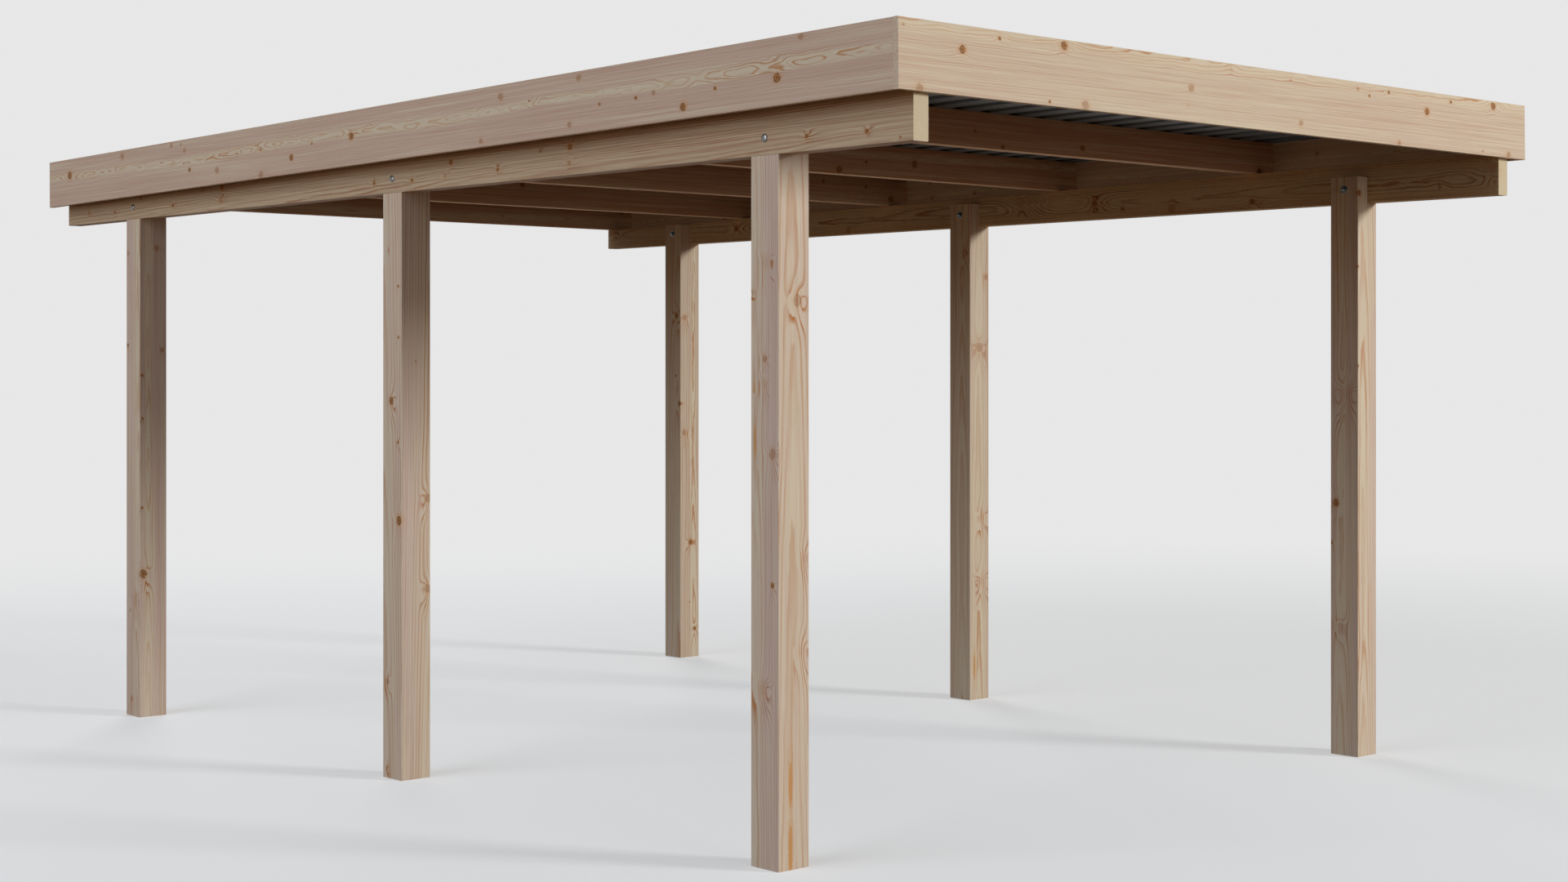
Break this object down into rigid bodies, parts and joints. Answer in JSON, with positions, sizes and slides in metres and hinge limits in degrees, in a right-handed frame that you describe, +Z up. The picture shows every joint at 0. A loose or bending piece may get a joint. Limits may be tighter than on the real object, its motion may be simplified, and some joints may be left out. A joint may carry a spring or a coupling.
{
  "type": "timber carport",
  "caption": "Open timber carport: square posts lapped round tapered side beams, rafters, deep fascia boards and a low-pitched roof of ribbed metal sheets.",
  "frame": {"origin": "on the ground, under the middle of the roof", "axes": "+X to the right for someone facing the rear, +Y to the rear along the beams, +Z up"},
  "size_m": [3.192, 5.2038, 2.3972],
  "materials": {
    "post_timber": "planed larch, untreated",
    "beam_timber": "planed larch, untreated",
    "rafter_timber": "planed larch, untreated",
    "fascia_boards": "planed larch board, untreated",
    "roof_metal": "matt dark grey coating on roll-formed steel"
  },
  "bodies": {
    "root": {"left_front_post": "post_timber", "left_middle_post": "post_timber", "left_rear_post": "post_timber", "right_front_post": "post_timber", "right_middle_post": "post_timber", "right_rear_post": "post_timber", "left_beam": "beam_timber", "right_beam": "beam_timber", "front_rafter": "rafter_timber", "rafter_2": "rafter_timber", "rafter_3": "rafter_timber", "rafter_4": "rafter_timber", "rafter_5": "rafter_timber", "rear_rafter": "rafter_timber", "front_fascia": "fascia_boards", "left_fascia": "fascia_boards", "right_fascia": "fascia_boards", "roof_sheet_1": "roof_metal", "roof_sheet_2": "roof_metal", "roof_sheet_3": "roof_metal"}
  },
  "joints": []
}
